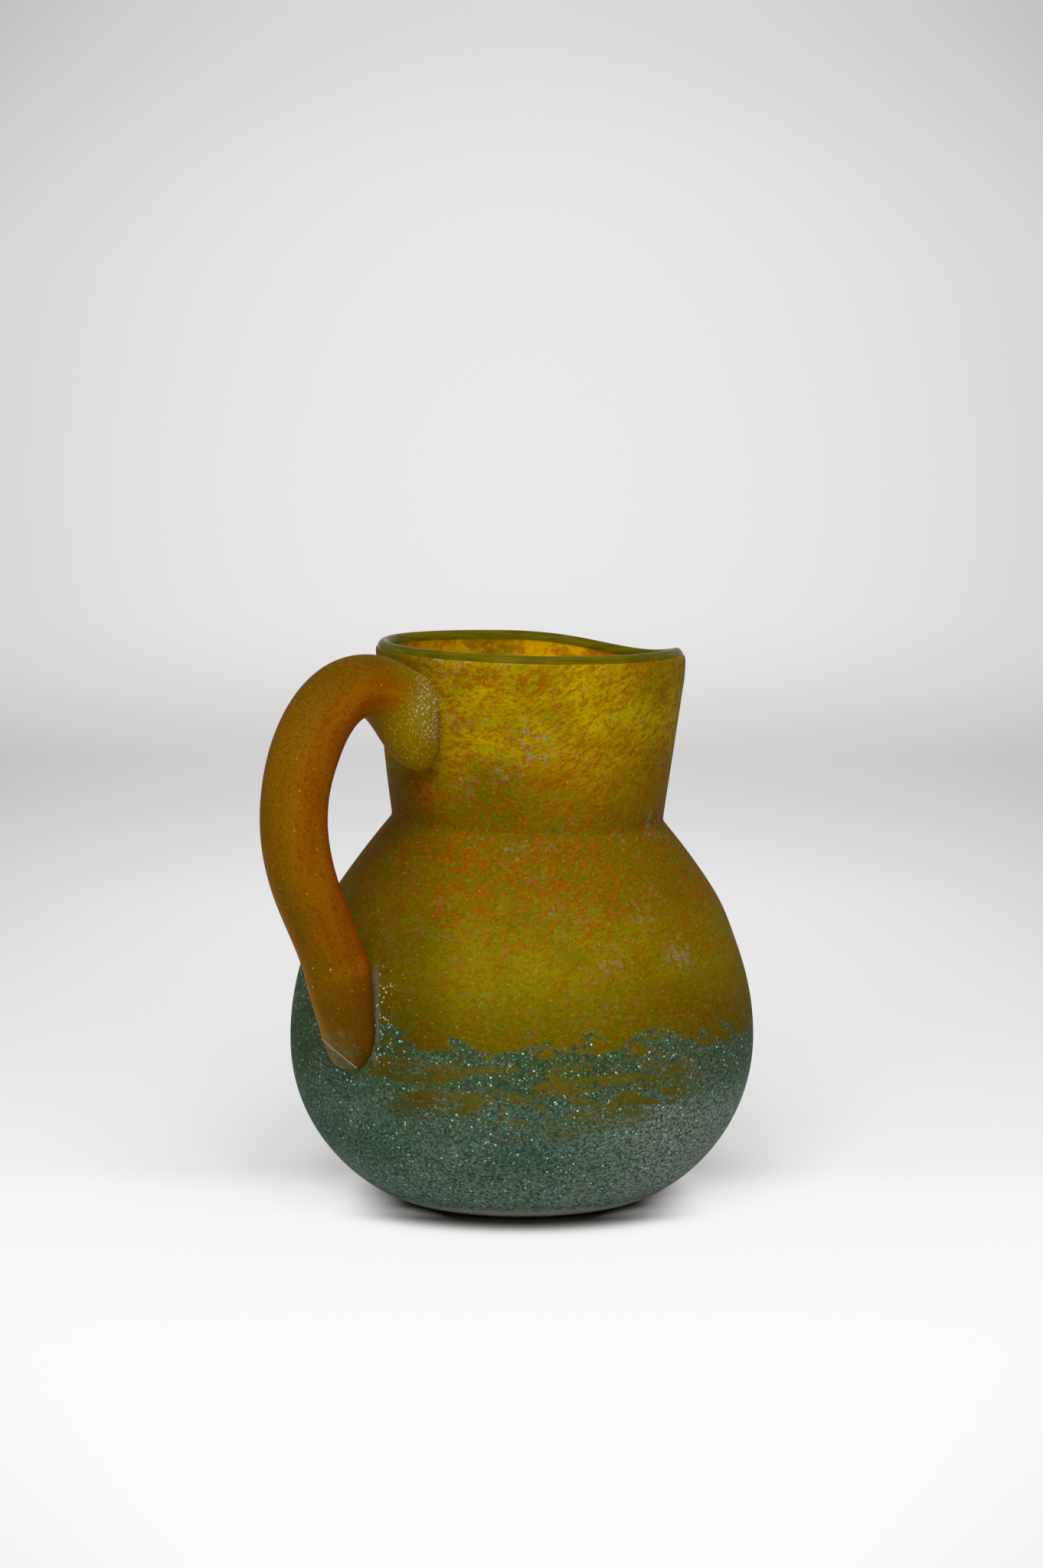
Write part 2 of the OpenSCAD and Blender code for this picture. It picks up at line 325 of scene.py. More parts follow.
def warped(radius, turn, height):
    """Turned points with the lip pulled out, the rim tilted, the neck leaning and the wall uneven."""
    lift = np.clip((height - FILLET_TOP_H) / NECK_TALL, 0, 1) ** LIP_RISE_POWER
    facing = np.maximum(np.cos(turn), 0)
    pull = LIP_REACH * facing ** LIP_PULL_POWER * lift
    tilt = RIM_TILT * (1 + np.cos(turn - RIM_TILT_TURN)) / 2
    drop = (tilt + LIP_DIP * facing ** LIP_DIP_POWER) * lift
    waist = smooth_step(height, WAIST_TILT_FROM_H, WAIST_H)
    waist = waist - smooth_step(height, FILLET_TOP_H, WAIST_TILT_TO_H)
    drop = drop + WAIST_TILT * np.cos(turn - CAMERA_TURN) * waist
    wave = np.sin(2 * turn + height / WOBBLE_TWIST)
    ripple = RIPPLE_SHARE * np.sin(3 * turn - height / RIPPLE_TWIST + 1)
    uneven = WOBBLE * smooth_step(height, 0, BELLY_H) * (wave + ripple)
    bulge = BULGE * hump(height, BULGE_H, BULGE_TALL) * np.maximum(np.cos(turn - CAMERA_TURN), 0) ** 2
    away = radius + (pull + uneven + bulge) * np.minimum(radius / WAIST_R, 1)
    return np.stack([away * np.cos(turn) + leaning(height), away * np.sin(turn), height - drop], -1)


def ring_faces(rings, count):
    """Faces of a stack of rings, closed by two end points that follow the points of the rings."""
    top = (rings - 1) * count
    first = rings * count
    last = first + 1
    faces = []
    for j in range(count):
        k = (j + 1) % count
        faces.append((first, k, j))
        faces.append((last, top + j, top + k))
        for a in range(0, top, count):
            b = a + count
            faces.append((a + j, a + k, b + k, b + j))
    return faces


def make_mesh(name, points, faces, marks):
    """A smooth mesh in the shared frame, with named numbers on its points."""
    mesh = bpy.data.meshes.new(name)
    mesh.from_pydata((points * MM).tolist(), [], faces)
    mesh.polygons.foreach_set("use_smooth", [True] * len(mesh.polygons))
    mesh.set_sharp_from_angle(angle=SHARP_FROM)
    for mark, values in marks.items():
        mesh.attributes.new(mark, "FLOAT", "POINT").data.foreach_set("value", values.astype(np.float32))
    mesh.validate()
    piece = bpy.data.objects.new(name, mesh)
    bpy.context.scene.collection.objects.link(piece)
    return piece


def turned_shell(name, section):
    """A closed turning of a section whose first and last points lie on the axis."""
    section = np.asarray(section, float)
    rows = section[1:-1]
    ends = section[[0, -1]]
    turns = np.arange(BODY_TURNS) * 2 * math.pi / BODY_TURNS
    grid = warped(rows[:, :1], turns[None, :], rows[:, 1:])
    poles = warped(ends[:, 0], np.zeros(2), ends[:, 1])
    points = np.concatenate([grid.reshape(-1, 3), poles])
    drop = RIM_H - np.concatenate([np.repeat(rows[:, 1], BODY_TURNS), ends[:, 1]])
    return make_mesh(name, points, ring_faces(len(rows), BODY_TURNS), {"rim_drop": drop})


def green_skin():
    """The grainy skin over the lower bowl, with the ground flat under it."""
    outer = let_in(0, 0, WATERLINE_H, FINE_GAP)
    inner = let_in(SKIN_T, 0, WATERLINE_H, PLAIN_GAP)
    return turned_shell("green_overlay_skin", np.concatenate([
        [[0, 0]], outer, inner[::-1], [[0, inner[0, 1]]],
    ]))


def amber_case():
    """The mottled casing, let in under the skin and rounded off just below the rim."""
    top_h = RIM_H - CASING_DROP
    under = let_in(SKIN_T, 0, WATERLINE_H, PLAIN_GAP)
    shown = let_in(0, WATERLINE_H, top_h - CASING_EDGE_R, FINE_GAP)
    back = let_in(CASING_T, 0, top_h - CASING_T, PLAIN_GAP)
    turns = np.linspace(0, math.pi / 2, CASING_EDGE_POINTS)[1:]
    edge = shown[-1] + CASING_EDGE_R * np.stack([np.cos(turns) - 1, np.sin(turns)], 1)
    return turned_shell("amber_casing_shell", np.concatenate([
        [[0, under[0, 1]]], under, shown, edge, back[::-1], [[0, back[0, 1]]],
    ]))


def inner_wall():
    """The gather: hidden outside, bare at the rounded rim, and smooth inside."""
    bare_h = RIM_H - CASING_DROP - CASING_EDGE_R
    hidden = let_in(CASING_T, 0, bare_h - CASING_T, PLAIN_GAP)
    rim = let_in(BARE_STEP, bare_h, RIM_H, RIM_GAP)
    turns = np.linspace(0, math.pi / 2, INNER_RIM_POINTS)[1:]
    middle, top_h = rim[-1]
    inside = np.stack([
        middle - (WALL_T - RIM_OUT) * np.sin(turns),
        top_h - RIM_IN_TALL * (1 - np.cos(turns)),
    ], 1)
    bore = let_in(bore_depths(), 0, NECK_TOP_H, BORE_GAP)
    bore = bore[bore[:, 1] < inside[-1, 1] - RIM_CLEAR]
    return turned_shell("inner_gather_wall", np.concatenate([
        [[0, hidden[0, 1]]], hidden, rim, inside, bore[::-1], [[0, bore[0, 1]]],
    ]))


# Handle: each stretch has a middle line (distance from the axis, height), half sizes (left, right, out,
# in) and a sideways drift (inside, outside)

def rounded(along, start, length, most):
    """A quarter round that grows from a small share at the root to 1 at its start."""
    return np.sqrt(1 - np.clip((start - along) / length, 0, most) ** 2)


def pad_stretch(root, crown):
    """The rod from its root in the neck to the crown of the loop, spread to a pad with a lobe."""
    span = crown[0] - root[0]
    pull = PAD_PULL_SHARE * span
    t = np.linspace(0, 1, PAD_RINGS)[:-1]
    line = bezier([root, (root[0] + pull, root[1]), (crown[0] - pull, crown[1]), crown], t)
    draw = (1 - t) ** PAD_DRAW_POWER
    side = ROD_R * rounded(span * t, **PAD_ROUND)
    lobe = ROD_R + (PAD_LOBE - ROD_R) * draw ** LOBE_DRAW_POWER
    lobe_round = rounded(span * t, **LOBE_ROUND)
    lobe = lobe * (LOBE_EDGE_SHARE + (1 - LOBE_EDGE_SHARE) * lobe_round)
    out = ROD_R + (PAD_HALF_TALL - ROD_R) * draw
    size = np.stack([side, side, out, lobe - ARCH * smooth_step(t, *ARCH_ON_PAD)], 1)
    return line, size, np.stack([-PAD_SKEW * draw, np.zeros(len(t))], 1)


def loop_stretch(crown, grip):
    """The rod over the fingers, from the crown to the grip."""
    t = np.linspace(0, 1, LOOP_RINGS)[:-1]
    line = bezier([
        crown,
        (crown[0] + CROWN_PULL_SHARE * (grip[0] - crown[0]), crown[1]),
        (grip[0], grip[1] + GRIP_RISE_SHARE * (crown[1] - grip[1])),
        grip,
    ], t)
    size = np.full((len(t), 4), ROD_R)
    size[:, 3] += FULLER * hump(t, FULLER_AT_SHARE, FULLER_WIDE_SHARE) - ARCH * smooth_step(t, *ARCH_ON_LOOP)
    return line, size, np.zeros((len(t), 2))


def fall_stretch(grip):
    """The rod from the grip down to the bowl, and its tail flattened onto the wall."""
    land_r = float(outer_radius(LAND_H)) + LAND_SHARE * ROD_R
    fall = grip[1] - LAND_H
    pull = LAND_PULL_SHARE * fall
    down = bezier([
        grip,
        (grip[0], grip[1] - GRIP_FALL_SHARE * fall),
        (land_r + pull * math.sin(LAND_LEAN), LAND_H + pull * math.cos(LAND_LEAN)),
        (land_r, LAND_H),
    ], np.linspace(0, 1, LOOP_RINGS)[:-1])
    tail_t = 1 - (1 - np.linspace(0, 1, TAIL_RINGS)) ** TAIL_RING_POWER
    tail_h = LAND_H + (TIP_H - LAND_H) * tail_t
    lift = TAIL_SEAT_SHARE + TAIL_LIFT_SHARE * (1 - tail_t) ** TAIL_LIFT_POWER
    tail = np.stack([outer_radius(tail_h) + ROD_R * lift, tail_h], 1)
    line = np.concatenate([down, tail])
    end = np.concatenate([np.zeros(len(down)), tail_t])
    sway = TIP_SWAY * smooth_step(end, *TIP_SWAY_SHARES)
    return line, fall_sizes(line[:, 1], end), np.stack([sway, sway], 1)


def fall_sizes(height, end):
    """Half sizes of the fall by height, closed towards the end of the tail."""
    slim = 1 - SLIM_SHARE * smooth_step(height, *SLIM_H)
    spread = SPREAD_SHARE * smooth_step(height, *SPREAD_H)
    pinch = PINCH_SHARE * hump(height, PINCH_H, PINCH_TALL)
    near_tip = np.maximum(end - TIP_FROM_SHARE, 0) / (1 - TIP_FROM_SHARE)
    close = np.maximum(1 - near_tip ** TIP_POWER, TIP_LEAST) ** (1 / TIP_POWER)
    thick = 1 - FLATTEN_SHARE * end ** FLATTEN_POWER
    thick = thick * (TIP_THICK_SHARE + (1 - TIP_THICK_SHARE) * close)
    return ROD_R * np.stack([slim * close, (slim + spread) * close, thick, thick * (slim - pinch)], 1)


def handle_path():
    """Middle line, half sizes and drift of the whole rod."""
    pad_r = float(outer_radius(PAD_H))
    root = (pad_r - PAD_SINK, PAD_H)
    crown = (pad_r + CROWN_SHARE * (HANDLE_REACH - pad_r), CROWN_H)
    grip = (HANDLE_REACH, GRIP_H)
    stretches = (pad_stretch(root, crown), loop_stretch(crown, grip), fall_stretch(grip))
    return [np.concatenate(column) for column in zip(*stretches)]


def handle_rod():
    """The applied rod: pad on the neck, loop, and flattened tail on the bowl."""
    line, size, sway = handle_path()
    way = np.gradient(line, axis=0)
    way /= np.linalg.norm(way, axis=1)[:, None]
    out = np.stack([-way[:, 1], way[:, 0]], 1)
    turns = np.arange(ROD_TURNS) * 2 * math.pi / ROD_TURNS
    side = np.where(np.cos(turns) > 0, size[:, 0:1], size[:, 1:2]) * np.cos(turns)
    side = side + sway[:, :1] + (sway[:, 1:] - sway[:, :1]) * smooth_step(np.sin(turns), -1, 1)
    rise = np.where(np.sin(turns) > 0, size[:, 2:3], size[:, 3:4]) * np.sin(turns)
    spot = line[:, None, :] + rise[..., None] * out[:, None, :]
    points = np.stack([-spot[..., 0], side, spot[..., 1]], -1).reshape(-1, 3)
    past = (points - SHEAR_AT) @ np.array(SHEAR_FACING)
    press = np.clip(SHEAR_SLOPE * past, 0, SHEAR_DEPTH)
    points[:, :2] *= (1 - press / np.linalg.norm(points[:, :2], axis=1))[:, None]
    points = seated(points)
    ends = np.stack([points[:ROD_TURNS].mean(0), points[-ROD_TURNS:].mean(0)])
    rings = len(line)
    run = np.concatenate([[0], np.cumsum(np.linalg.norm(np.diff(line, axis=0), axis=1))])
    marks = {
        "along": np.concatenate([np.repeat(run, ROD_TURNS), [0, run[-1]]]),
        "outward": np.concatenate([np.tile(np.sin(turns), rings), [0, 0]]),
        "sideways": np.concatenate([np.tile(np.cos(turns), rings), [0, 0]]),
        "past_shear": np.concatenate([past, past[[0, -1]]]),
    }
    return make_mesh("handle_rod", np.concatenate([points, ends]), ring_faces(rings, ROD_TURNS), marks)


def seated(points):
    """Points inside the body moved out to a small depth under its surface."""
    lean = leaning(points[:, 2])
    flat = np.stack([points[:, 0] - lean, points[:, 1]], 1)
    away = np.linalg.norm(flat, axis=1)
    least = outer_radius(np.minimum(points[:, 2], NECK_TOP_H)) - SEAT_DEPTH
    grow = np.where(away < least, least / np.maximum(away, 1e-6), 1)
    moved = points.copy()
    moved[:, 0] = flat[:, 0] * grow + lean
    moved[:, 1] = flat[:, 1] * grow
    return moved


# Materials

SEED_SHIFT = (17.3, 9.1, 4.7)
DOT_CORE_SHARE = 0.55
DOT_SOFT = 0.02
NEAR_FULL_SHARE = 0.35


class Nodes:
    """A node tree, and short ways to add to it."""

    def __init__(self, tree):
        self.tree = tree

    def node(self, kind, values=(), **settings):
        """A new node with its settings, and its inputs linked or set."""
        made = self.tree.nodes.new("ShaderNode" + kind)
        for name, value in settings.items():
            setattr(made, name, value)
        for name, value in dict(values).items():
            self.feed(made.inputs[name], value)
        return made

    def feed(self, socket, value):
        if isinstance(value, bpy.types.NodeSocket):
            self.tree.links.new(value, socket)
        else:
            socket.default_value = value

    def calc(self, operation, a, b):
        return self.node("Math", {0: a, 1: b}, operation=operation).outputs["Value"]

    def add(self, a, b):
        return self.calc("ADD", a, b)

    def less(self, a, b):
        """The first number less the second."""
        return self.calc("SUBTRACT", a, b)

    def part(self, a, b):
        """A share of a number, or the place where two masks of 0 to 1 overlap."""
        return self.calc("MULTIPLY", a, b)

    def most(self, a, b):
        """The greater of two numbers, or the place that either of two masks covers."""
        return self.calc("MAXIMUM", a, b)

    def ramp(self, value, stops, easing="LINEAR"):
        """A colour that runs through stops of (position, colour)."""
        made = self.node("ValToRGB", {"Fac": value})
        made.color_ramp.interpolation = easing
        edge = made.color_ramp.elements
        while len(edge) < len(stops):
            edge.new(0.5)
        for one, (position, colour) in zip(edge, stops):
            one.position = position
            one.color = colour
        return made.outputs["Color"]

    def seen(self):
        """1 for what the camera sees straight, in gloss or through glass, and 0 for light on the object."""
        light = self.node("LightPath").outputs
        straight = self.most(light["Is Camera Ray"], light["Is Glossy Ray"])
        return self.most(straight, light["Is Transmission Ray"])


class Paint(Nodes):
    """One procedural material, painted in millimetres of the shared frame."""

    def __init__(self, name, **sockets):
        self.material = bpy.data.materials.new(name)
        self.material.use_nodes = True
        super().__init__(self.material.node_tree)
        self.shader = self.tree.nodes["Principled BSDF"]
        for socket, value in sockets.items():
            self.shader.inputs[socket.replace("_", " ")].default_value = value
        place = self.node("TexCoord").outputs["Object"]
        scaled = self.node("VectorMath", {0: place, "Scale": 1 / MM}, operation="SCALE")
        self.spot = scaled.outputs["Vector"]
        self.height = self.node("SeparateXYZ", {0: self.spot}).outputs["Z"]
        self.values = {"height": self.height}

    def value(self, name):
        """A distance along a named way in millimetres, or else a number kept on the points of the mesh."""
        if name not in self.values:
            if name in WAYS:
                made = self.node("VectorMath", {0: self.spot, 1: WAYS[name]}, operation="DOT_PRODUCT")
                self.values[name] = made.outputs["Value"]
            else:
                self.values[name] = self.node("Attribute", attribute_name=name).outputs["Fac"]
        return self.values[name]

    def scaled(self, size, stretch=(1, 1, 1), seed=0, at=None):
        """Coordinates in features of one size, moved along by a seed."""
        share = tuple(1 / (size * s) for s in stretch)
        shift = tuple(seed * s for s in SEED_SHIFT)
        moved = self.node("VectorMath", {0: at or self.spot, 1: share, 2: shift}, operation="MULTIPLY_ADD")
        return moved.outputs["Vector"]

    def noise(self, size, stretch=(1, 1, 1), detail=2.0, rough=0.5, bend=0.0, seed=0, at=None):
        """Soft noise with features about one size across."""
        where = self.scaled(size, stretch, seed, at)
        made = self.node("TexNoise", {
            "Vector": where, "Scale": 1.0, "Detail": detail, "Roughness": rough, "Distortion": bend,
        })
        return made.outputs["Fac"]

    def cover(self, full, **texture):
        """A mask of 0 to 1 from the range of a noise."""
        return self.step(self.noise(**texture), *full)

    def shaken(self, size, reach, seed):
        """The place moved about by noise, for ragged marks."""
        where = self.scaled(size, seed=seed)
        shake = self.node("TexNoise", {"Vector": where, "Scale": 1.0, "Detail": 2.0}).outputs["Color"]
        middle = self.node("VectorMath", {0: shake, 1: (0.5,) * 3}, operation="SUBTRACT").outputs["Vector"]
        moved = self.node(
            "VectorMath", {0: middle, 1: (2 * reach,) * 3, 2: self.spot}, operation="MULTIPLY_ADD"
        )
        return moved.outputs["Vector"]

    def dots(self, gap, radius, share, seed, stretch=(1, 1, 1)):
        """Scattered round dots, and a number for each."""
        where = self.scaled(gap, stretch, seed)
        cells = self.node("TexVoronoi", {"Vector": where, "Scale": 1.0})
        luck = self.node("SeparateColor", {0: cells.outputs["Color"]})
        near = self.step(cells.outputs["Distance"], radius / gap, DOT_CORE_SHARE * radius / gap)
        chosen = self.step(luck.outputs["Red"], 1 - share, 1 + DOT_SOFT - share)
        return self.part(near, chosen), luck.outputs["Green"]

    def step(self, value, low, high):
        """0 to 1, smoothly, as a value goes from low to high."""
        made = self.node(
            "MapRange", {"Value": value, "From Min": low, "From Max": high}, interpolation_type="SMOOTHSTEP"
        )
        return made.outputs["Result"]

    def where(self, **ranges):
        """A mask of the place where named values are past their ranges, or inside ranges of four numbers."""
        steps = []
        for name, span in ranges.items():
            steps.append(self.step(self.value(name), *span[:2]))
            if len(span) == 4:
                steps.append(self.step(self.value(name), span[3], span[2]))
        return functools.reduce(self.part, steps)

    def mask(self, recipe):
        """A mask of 0 to 1: dots if the recipe has a gap, noise if it has a size, and else a place."""
        if "gap" in recipe:
            return self.dots(**recipe)[0]
        if "size" in recipe:
            return self.cover(**recipe)
        return self.where(**recipe)

    def near(self, place, reach, at=None):
        """1 at a place, falling to 0 at its reach."""
        far = self.node("VectorMath", {0: at or self.spot, 1: place}, operation="DISTANCE")
        return self.step(far.outputs["Value"], reach, NEAR_FULL_SHARE * reach)

    def mix(self, share, a, b):
        return self.node("Mix", {0: share, 6: a, 7: b}, data_type="RGBA").outputs[2]

    def lay(self, under, over, mask, share):
        """A colour with a share of another laid over it where a mask is."""
        return self.mix(self.part(mask, share), under, over)

    def layers(self, colour, rows):
        """A colour with tones laid over it in turn, each by a share where all the masks of its row are."""
        for tone, share, *recipes in rows:
            mask = functools.reduce(self.part, [self.mask(recipe) for recipe in recipes])
            colour = self.lay(colour, tone, mask, share)
        return colour

    def finish(self, colour, rough, bump, bump_mm):
        """The material, with its colour, its roughness and a bump of some millimetres."""
        self.feed(self.shader.inputs["Base Color"], colour)
        self.feed(self.shader.inputs["Roughness"], rough)
        relief = self.node("Bump", {"Height": bump, "Distance": bump_mm * MM, "Strength": 1.0})
        self.feed(self.shader.inputs["Normal"], relief.outputs["Normal"])
        return self.material


# Level ways to the picture's right and away from the camera, and the ways that places are measured along
RIGHT_WAY = (math.cos(CAMERA_TURN), math.sin(CAMERA_TURN), 0)
VIEW_WAY = (-math.sin(CAMERA_TURN), math.cos(CAMERA_TURN))
WAYS = {
    "right": RIGHT_WAY,
    "left": (-RIGHT_WAY[0], -RIGHT_WAY[1], 0),
    "front": (-VIEW_WAY[0], -VIEW_WAY[1], 0),
    "lipward": (1, 0, 0),
}

# Amber glass: its colour by height over the table, partly the glass's own tone and partly painted light,
# brighter up the neck where light comes through the wall; and the colours laid over it
AMBER_AND_LIGHT_BY_HEIGHT = (
    (0, (72, 74, 0)),
    (50, (84, 84, 0)),
    (58, (86, 84, 0)),
    (66, (99, 94, 0)),
    (78, (124, 114, 0)),
    (90, (122, 109, 0)),
    (104, (108, 92, 0)),
    (117, (104, 90, 0)),
    (132, (143, 117, 0)),
    (150, (178, 154, 0)),
    (171, (178, 149, 0)),
)
OLIVE = srgb(92, 90, 0)
NECK_OLIVE = srgb(84, 86, 0)
UNDER_PAD_WARM_LIT = srgb(176, 104, 0)
RUST = srgb(112, 62, 0)
ORANGE = srgb(146, 66, 0)
BROWN = srgb(74, 46, 0)
STRAW = srgb(172, 144, 0)
SIDE_SHADE = srgb(60, 38, 0)
BOWL_SHADE = srgb(48, 44, 0)

# Green skin, and its foot: paler low down from wear and from painted light bounced off the floor
GREEN_HIGH = srgb(54, 80, 36)
GREEN_LOW = srgb(76, 110, 88)
GREEN_DARK = srgb(36, 55, 44)
GREEN_FOOT_WEAR_AND_BOUNCE = srgb(122, 146, 128)
GREY_GREEN = srgb(134, 146, 132)
PALE_GREEN = srgb(166, 182, 168)
ROSE_GREY = srgb(122, 104, 84)
TURQUOISE = srgb(112, 196, 164)
PALE = srgb(222, 236, 226)
WEAR_AND_BOUNCE_RING = srgb(196, 194, 180)

# Flecks and frost
LILAC = srgb(152, 144, 122)
LILAC_GREY = srgb(114, 110, 86)
FROST = srgb(196, 188, 148)

# Mottling of the amber: feature sizes, and the ranges of the noise that are covered
CLOUDS = dict(size=24, full=(0.46, 0.7), stretch=(1, 1, 0.7), detail=4, rough=0.6, bend=0.3)
RUST_CLOUDS = dict(size=17, full=(0.44, 0.7), stretch=(1, 1, 0.6), detail=5, rough=0.7, bend=0.4, seed=3)
OLIVE_GRAIN = dict(size=1.7, full=(0.5, 0.6), stretch=(1.5, 1.5, 0.8), detail=5, rough=0.75, bend=0.3, seed=6)
SPECK_CLOUDS = dict(size=9, full=(0.2, 0.54), stretch=(1.3, 1.3, 0.6), detail=3, rough=0.6, seed=5)
SPECKS = dict(size=2.1, full=(0.46, 0.57), stretch=(1.6, 1.6, 0.8), detail=6, rough=0.78, bend=0.4, seed=1)
STRAW_GRAIN = dict(size=1.1, full=(0.52, 0.62), stretch=(1.5, 1.5, 0.9), detail=4, rough=0.8, seed=7)
DARK_GRAIN = dict(size=0.9, full=(0.53, 0.63), stretch=(1.3, 1.3, 0.9), detail=3, rough=0.75, seed=9)

# Ragged clouds on the neck: middle and reach. The warm one under the pad is partly reddish glass and partly
# painted light that lightens the pad's shadow
NECK_SHAKE = dict(size=6, reach=5.0, seed=2)
NECK_CLOUD = ((-34.5, -23.5, 128), 15)
UNDER_PAD_LIT_SPOT = ((-43, 1, 130), 10)

# The mottling is drawn aslant from this far right, by this much; the specks are stronger higher up
SLANT_FROM = 2.0
SLANT = 0.5
SPECK_SHARE = 0.35
SPECKS_MORE_H = (74, 98)

# Painted shade on the sides, and on the bowl beside the tail, partly the handle's shadow and partly darker
# mottling; and the amber that lies under the green
LEFT_SHADE = (-14, -36)
RIGHT_SHADE = (18, 50)
RIGHT_SHADE_SHARE = 0.5
BOWL_SHADES = (
    (BOWL_SHADE, 0.24, dict(right=(-8, -34), height=(102, 86))),
    (GREEN_HIGH, 0.22, dict(height=(58, 48))),
)


def amber_colour(paint):
    """Olive mustard glass with fine rust mottling, drawn aslant near the lip, and pale flecks."""
    # The colour by height holds painted light: the neck is brighter where light shines through its wall
    level = paint.calc("DIVIDE", paint.height, RIM_H)
    colour = paint.ramp(level, [(h / RIM_H, srgb(*c)) for h, c in AMBER_AND_LIGHT_BY_HEIGHT])
    colour = paint.layers(colour, ((OLIVE, 0.45, CLOUDS), (RUST, 0.46, RUST_CLOUDS)))
    ragged = paint.shaken(**NECK_SHAKE)
    colour = paint.lay(colour, NECK_OLIVE, paint.near(*NECK_CLOUD, at=ragged), share=0.75)
    # Warm spot under the pad: reddish glass with painted light that lightens the pad's shadow
    colour = paint.lay(colour, UNDER_PAD_WARM_LIT, paint.near(*UNDER_PAD_LIT_SPOT, at=ragged), share=0.7)
    drawn = drawn_aslant(paint)
    colour = paint.lay(colour, OLIVE, paint.cover(**OLIVE_GRAIN, at=drawn), share=0.34)
    specks = paint.part(paint.cover(**SPECKS, at=drawn), paint.cover(**SPECK_CLOUDS, at=drawn))
    strong = paint.add(SPECK_SHARE, paint.part(paint.step(paint.height, *SPECKS_MORE_H), SPECK_SHARE))
    colour = paint.lay(colour, ORANGE, specks, share=strong)
    colour = paint.lay(colour, STRAW, paint.cover(**STRAW_GRAIN, at=drawn), share=0.25)
    colour = paint.lay(colour, BROWN, paint.cover(**DARK_GRAIN), share=0.42)
    return pale_flecks(paint, amber_shades(paint, colour))


def drawn_aslant(paint):
    """The place, lowered towards the right, so that the mottling climbs to the lip."""
    right = paint.most(paint.less(paint.value("right"), SLANT_FROM), 0.0)
    up = paint.node("CombineXYZ", {2: paint.part(right, -SLANT)}).outputs["Vector"]
    return paint.node("VectorMath", {0: paint.spot, 1: up}, operation="ADD").outputs["Vector"]


def amber_shades(paint, colour):
    """Painted shade on the sides and on the bowl beside the tail, and green under the edge of the skin."""
    right = paint.part(paint.where(right=RIGHT_SHADE), RIGHT_SHADE_SHARE)
    colour = paint.lay(colour, SIDE_SHADE, paint.most(paint.where(right=LEFT_SHADE), right), share=0.36)
    return paint.layers(colour, BOWL_SHADES)


# Pale flecks lie thick round these places: middle, reach and strength
FLECK_PLACES = (
    ((-27, -34, 145), 10, 1.0),
    ((-32, -28, 135), 7, 0.7),
    ((-39, -15, 132), 6, 0.6),
    ((17, -38, 118), 9, 0.8),
    ((-33, -30, 113), 7, 0.5),
    ((-43, -12, 168), 8, 0.6),
    ((-42, -13, 150), 6, 0.5),
    ((-5, -58, 94), 7, 0.5),
    ((4, -64, 82), 8, 0.6),
    ((-20, -61, 82), 8, 0.5),
)
FLECK_SPREAD = dict(size=15, full=(0.56, 0.7), stretch=(1, 1, 0.6), detail=3, rough=0.6, seed=11)
FLECK_SPREAD_SHARE = 0.3
FLECK_SHAKE = dict(size=1.2, reach=1.0, seed=13)
FLECKS = dict(size=1.9, full=(0.53, 0.6), stretch=(1, 1, 1.2), detail=3, rough=0.6, seed=14)
FLECK_TONES = dict(size=0.9, full=(0.4, 0.6), seed=16)
STREAKS = dict(size=4.5, full=(0.58, 0.68), stretch=(2, 2, 0.3), detail=4, rough=0.7, bend=0.4, seed=12)
LAST_FLECKS = (
    (LILAC_GREY, 0.22, STREAKS, dict(height=(60, 68, 94, 104))),
    (FROST, 0.45, dict(gap=1.7, radius=0.24, share=0.3, seed=15)),
)


def pale_flecks(paint, colour):
    """Lilac and pale flecks: thick at a few places, thin elsewhere, level streaks low down, tiny sparkles."""
    where = paint.part(paint.cover(**FLECK_SPREAD), FLECK_SPREAD_SHARE)
    for place, reach, strength in FLECK_PLACES:
        where = paint.most(where, paint.part(paint.near(place, reach), strength))
    flecks = paint.cover(**FLECKS, at=paint.shaken(**FLECK_SHAKE))
    pale = paint.mix(paint.cover(**FLECK_TONES), LILAC_GREY, LILAC)
    colour = paint.lay(colour, pale, paint.part(flecks, where), share=0.6)
    return paint.layers(colour, LAST_FLECKS)


# Crust beside the tail of the handle: a thin broken seam, and a scatter of frosty grains
BESIDE_TAIL = dict(height=(48, 56, 75, 82), lipward=(-40, -55))
SEAM_BREAKS = dict(size=3, full=(0.34, 0.54), stretch=(1, 1, 2), detail=3, rough=0.6, seed=19)
GRAIN_BREAKS = dict(size=4, full=(0.4, 0.54), stretch=(1, 1, 1.6), detail=3, rough=0.6, seed=18)
TAIL_GRAINS = dict(gap=0.95, radius=0.38, share=0.55, seed=17)
TAIL_CRUST = (
    (LILAC_GREY, 0.6, dict(right=(-45.0, -44.2, -42.8, -41.6)), SEAM_BREAKS, BESIDE_TAIL),
    (PALE, 0.8, dict(right=(-44.0, -42.6, -40.5, -37.0)), GRAIN_BREAKS, BESIDE_TAIL, TAIL_GRAINS),
)

